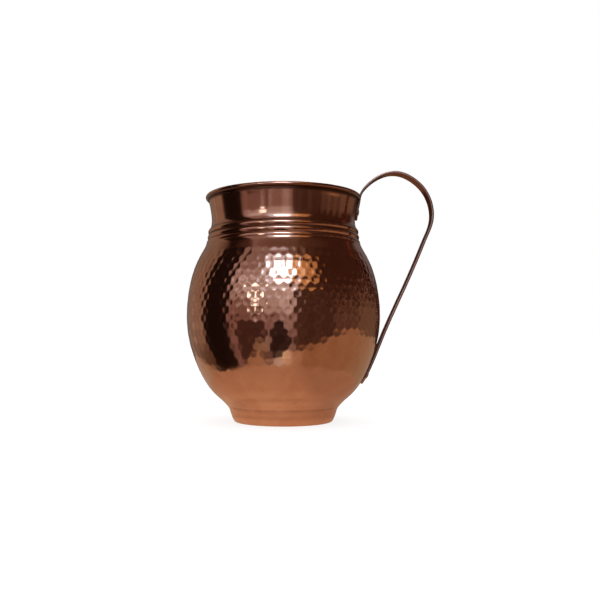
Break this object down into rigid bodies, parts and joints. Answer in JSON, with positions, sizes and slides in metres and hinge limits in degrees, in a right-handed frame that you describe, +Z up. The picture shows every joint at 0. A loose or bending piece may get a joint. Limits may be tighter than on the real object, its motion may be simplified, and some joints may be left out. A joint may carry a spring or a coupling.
{
  "type": "hammered copper jug",
  "caption": "Round-bellied hammered sheet-copper jug with a plain foot, beaded neck, rolled open mouth and a tall riveted strap handle.",
  "frame": {"origin": "on the pot's axis, in the plane that the foot stands on", "axes": "+Z up along the pot's axis; +X towards the handle; the handle lies in the XZ plane"},
  "size_m": [0.1644, 0.1286, 0.1667],
  "materials": {
    "copper_body": "polished",
    "copper_wire": "satin",
    "copper_base": "satin",
    "solder": "satin",
    "copper_strap": "polished",
    "copper_rivets": "satin",
    "copper_washers": "satin"
  },
  "bodies": {
    "root": {"pot_shell": "copper_body", "rim_wire": "copper_wire", "base_disc": "copper_base", "base_solder": "solder", "handle_strap": "copper_strap", "neck_rivets": "copper_rivets", "belly_rivets": "copper_rivets", "neck_rivet_washers": "copper_washers", "belly_rivet_washers": "copper_washers"}
  },
  "joints": []
}
